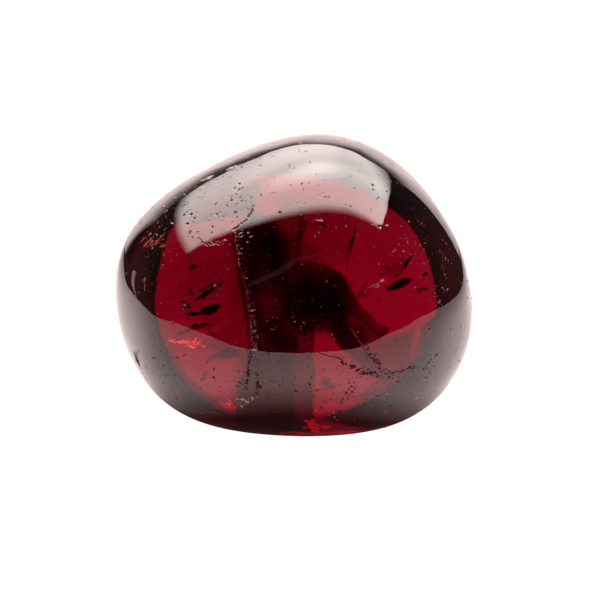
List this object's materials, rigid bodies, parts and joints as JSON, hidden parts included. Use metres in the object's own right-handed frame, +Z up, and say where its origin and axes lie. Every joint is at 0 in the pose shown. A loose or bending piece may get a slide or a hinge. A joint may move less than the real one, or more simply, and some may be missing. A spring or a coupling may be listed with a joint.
{
  "type": "tumbled garnet stone",
  "caption": "Tumbled, polished garnet pebble of see-through dark red crystal, worn round on every side, with a small flat it rests on.",
  "frame": {"origin": "middle of the underside of the stone's own box, on the flat that it rests on", "axes": "+X along the stone's longest extent, towards its steeper, fuller end; -Y towards its front; +Z up"},
  "size_m": [0.0222, 0.0172, 0.0173],
  "materials": {
    "garnet": "polished, see-through",
    "sealed_minerals": "dark grains, needles and films sealed inside the crystal"
  },
  "bodies": {
    "root": {"garnet": "garnet"}
  },
  "joints": []
}
